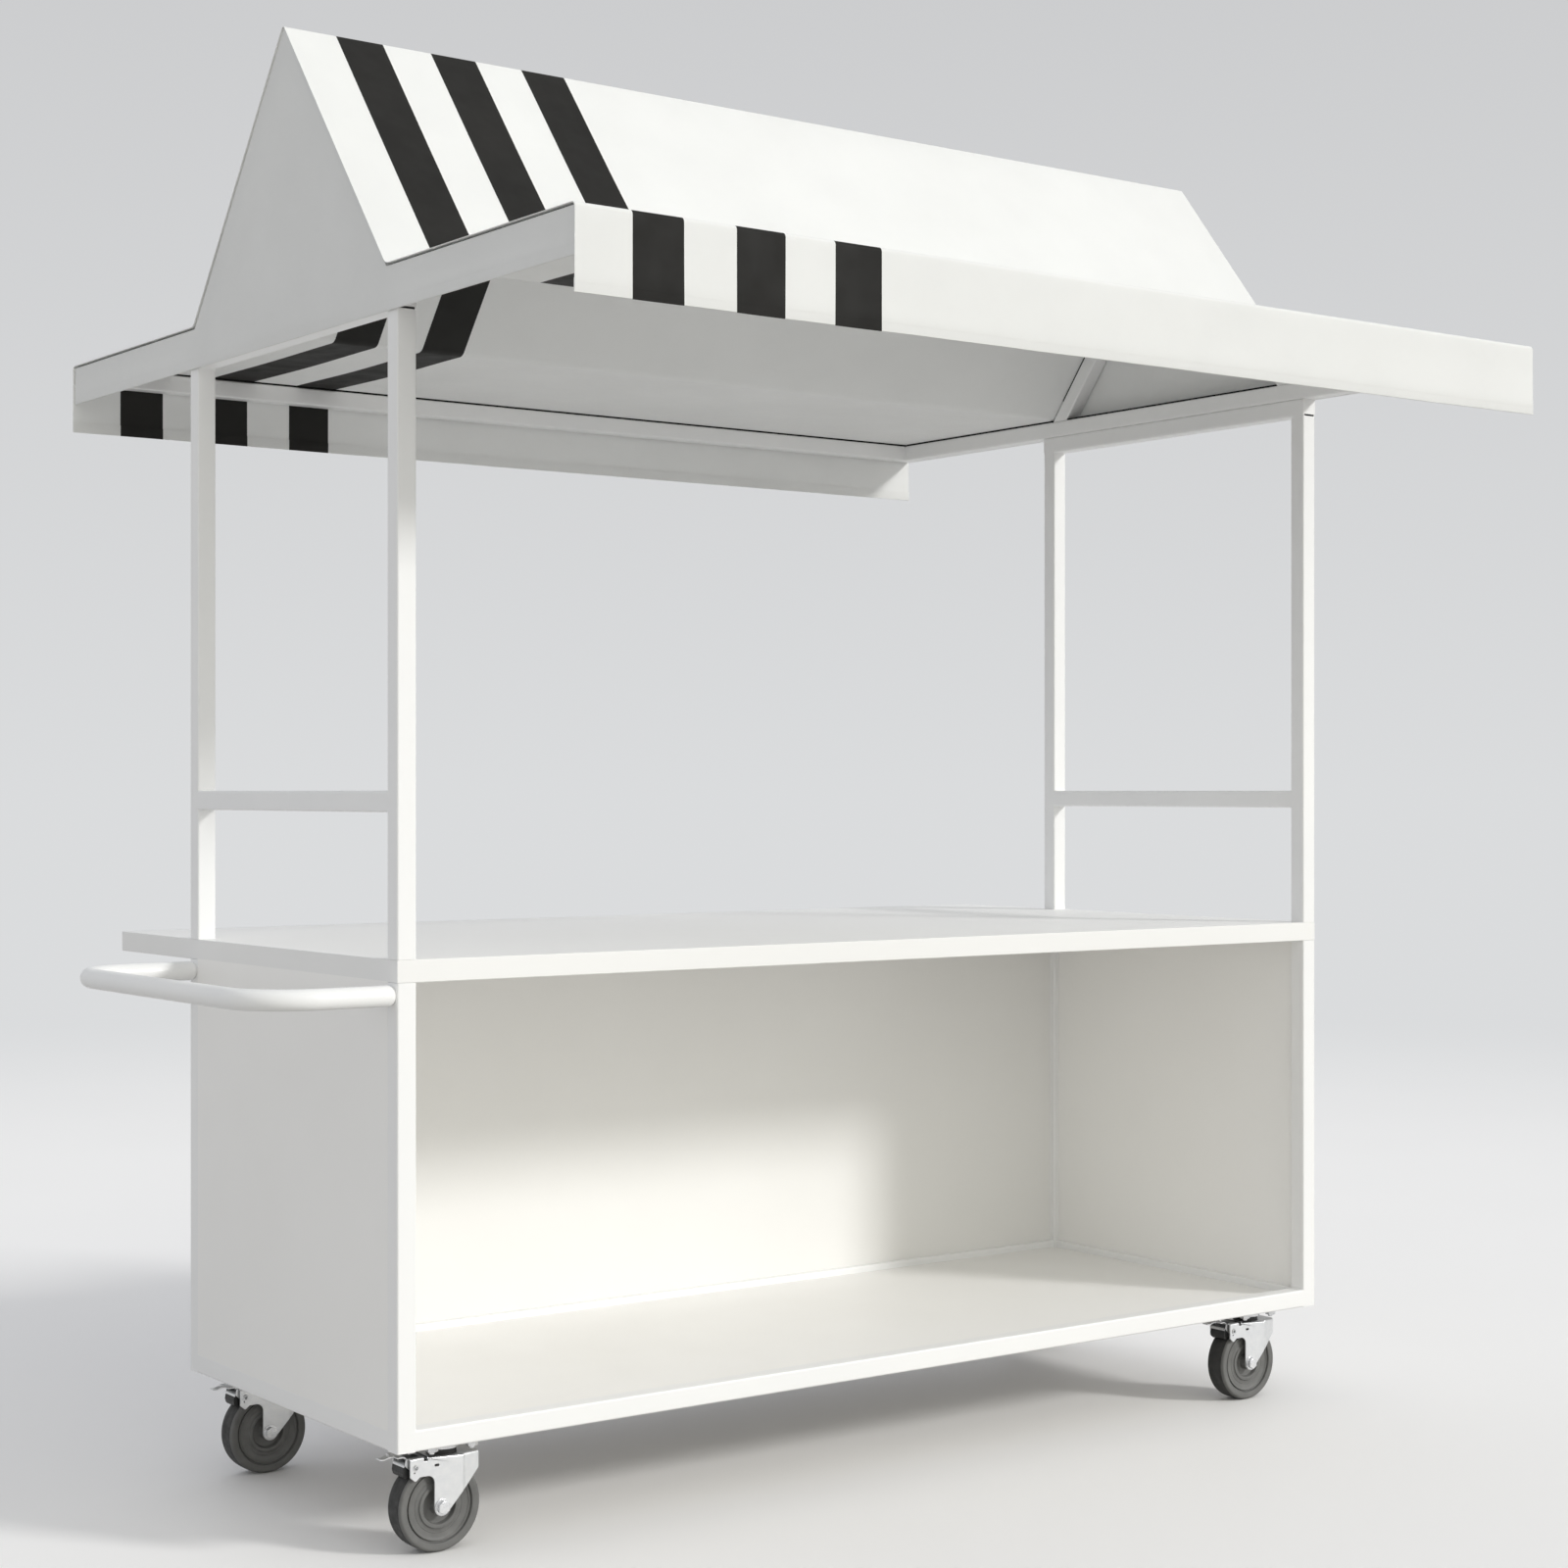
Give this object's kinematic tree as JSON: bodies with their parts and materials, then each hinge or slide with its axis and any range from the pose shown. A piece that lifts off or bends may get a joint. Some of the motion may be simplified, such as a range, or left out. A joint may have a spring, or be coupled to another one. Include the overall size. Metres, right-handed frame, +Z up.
{
  "type": "serving cart with canopy",
  "caption": "Open-fronted serving cart on swivel casters with brakes, a counter overhanging the back, a push handle at one end and a gabled cloth canopy with black bands on posts.",
  "frame": {"origin": "on the ground, under the middle of the overall box of the cart with its handle and canopy", "axes": "+X along the counter, away from the push handle; +Y to the back, where the counter overhangs; +Z up"},
  "size_m": [2.051, 1.622, 2.1991],
  "materials": {
    "frame_paint": "white powder coat, satin",
    "white_board": "board faced with smooth white laminate",
    "counter_board": "board faced with glossy white laminate",
    "white_cloth": "white coated awning cloth, matte",
    "black_cloth": "black coated awning cloth, matte",
    "zinc_steel": "bright zinc plate on pressed steel",
    "grey_tyre": "dark grey moulded rubber, matte",
    "grey_plastic": "dark grey moulded plastic, satin",
    "black_plastic": "black moulded brake shoe"
  },
  "bodies": {
    "root": {"lower_post_front_left": "frame_paint", "lower_post_rear_left": "frame_paint", "lower_post_front_right": "frame_paint", "lower_post_rear_right": "frame_paint", "upper_post_front_left": "frame_paint", "upper_post_rear_left": "frame_paint", "upper_post_front_right": "frame_paint", "upper_post_rear_right": "frame_paint", "bottom_rail_left": "frame_paint", "bottom_rail_right": "frame_paint", "bottom_rail_front": "frame_paint", "bottom_rail_rear": "frame_paint", "mid_rail_left": "frame_paint", "mid_rail_right": "frame_paint", "top_rail_left": "frame_paint", "top_rail_right": "frame_paint", "canopy_rail_front": "frame_paint", "canopy_rail_rear": "frame_paint", "canopy_beam_left": "frame_paint", "canopy_beam_right": "frame_paint", "rafter_pair_left": "frame_paint", "rafter_pair_right": "frame_paint", "ridge_pole": "frame_paint", "push_handle": "frame_paint", "floor_panel": "white_board", "left_panel": "white_board", "right_panel": "white_board", "back_panel": "white_board", "countertop": "counter_board", "canopy_cover": "white_cloth", "end_panel_left": "white_cloth", "end_panel_right": "white_cloth", "canopy_band_1": "black_cloth", "canopy_band_2": "black_cloth", "canopy_band_3": "black_cloth", "caster_plate_front_left": "zinc_steel", "caster_plate_rear_left": "zinc_steel", "caster_plate_front_right": "zinc_steel", "caster_plate_rear_right": "zinc_steel"},
    "fork_front_left": {"caster_fork_front_left": "zinc_steel", "axle_bolt_front_left": "zinc_steel"},
    "fork_rear_left": {"caster_fork_rear_left": "zinc_steel", "axle_bolt_rear_left": "zinc_steel"},
    "fork_front_right": {"caster_fork_front_right": "zinc_steel", "axle_bolt_front_right": "zinc_steel"},
    "fork_rear_right": {"caster_fork_rear_right": "zinc_steel", "axle_bolt_rear_right": "zinc_steel"},
    "wheel_front_left": {"tyre_front_left": "grey_tyre", "wheel_hub_front_left": "grey_plastic"},
    "wheel_rear_left": {"tyre_rear_left": "grey_tyre", "wheel_hub_rear_left": "grey_plastic"},
    "wheel_front_right": {"tyre_front_right": "grey_tyre", "wheel_hub_front_right": "grey_plastic"},
    "wheel_rear_right": {"tyre_rear_right": "grey_tyre", "wheel_hub_rear_right": "grey_plastic"},
    "brake_front_left": {"brake_pedal_front_left": "zinc_steel"},
    "brake_rear_left": {"brake_pedal_rear_left": "zinc_steel"},
    "brake_front_right": {"brake_pedal_front_right": "zinc_steel"},
    "brake_rear_right": {"brake_pedal_rear_right": "zinc_steel"}
  },
  "joints": [
    {"name": "swivel_front_left", "type": "hinge", "parent": "root", "child": "fork_front_left", "pos_m": [-0.7045, -0.275, 0.145], "axis": [0, 0, 1], "continuous": true},
    {"name": "swivel_rear_left", "type": "hinge", "parent": "root", "child": "fork_rear_left", "pos_m": [-0.7045, 0.275, 0.145], "axis": [0, 0, 1], "continuous": true},
    {"name": "swivel_front_right", "type": "hinge", "parent": "root", "child": "fork_front_right", "pos_m": [0.9135, -0.275, 0.145], "axis": [0, 0, 1], "continuous": true},
    {"name": "swivel_rear_right", "type": "hinge", "parent": "root", "child": "fork_rear_right", "pos_m": [0.9135, 0.275, 0.145], "axis": [0, 0, 1], "continuous": true},
    {"name": "roll_front_left", "type": "hinge", "parent": "fork_front_left", "child": "wheel_front_left", "pos_m": [-0.7165, -0.275, 0.065], "axis": [0, 1, 0], "continuous": true},
    {"name": "roll_rear_left", "type": "hinge", "parent": "fork_rear_left", "child": "wheel_rear_left", "pos_m": [-0.7165, 0.275, 0.065], "axis": [0, 1, 0], "continuous": true},
    {"name": "roll_front_right", "type": "hinge", "parent": "fork_front_right", "child": "wheel_front_right", "pos_m": [0.9015, -0.275, 0.065], "axis": [0, 1, 0], "continuous": true},
    {"name": "roll_rear_right", "type": "hinge", "parent": "fork_rear_right", "child": "wheel_rear_right", "pos_m": [0.9015, 0.275, 0.065], "axis": [0, 1, 0], "continuous": true},
    {"name": "brake_front_left", "type": "hinge", "parent": "fork_front_left", "child": "brake_front_left", "pos_m": [-0.7585, -0.275, 0.1255], "axis": [0, -1, 0], "range_deg": [0, 15]},
    {"name": "brake_rear_left", "type": "hinge", "parent": "fork_rear_left", "child": "brake_rear_left", "pos_m": [-0.7585, 0.275, 0.1255], "axis": [0, -1, 0], "range_deg": [0, 15]},
    {"name": "brake_front_right", "type": "hinge", "parent": "fork_front_right", "child": "brake_front_right", "pos_m": [0.8595, -0.275, 0.1255], "axis": [0, -1, 0], "range_deg": [0, 15]},
    {"name": "brake_rear_right", "type": "hinge", "parent": "fork_rear_right", "child": "brake_rear_right", "pos_m": [0.8595, 0.275, 0.1255], "axis": [0, -1, 0], "range_deg": [0, 15]}
  ]
}
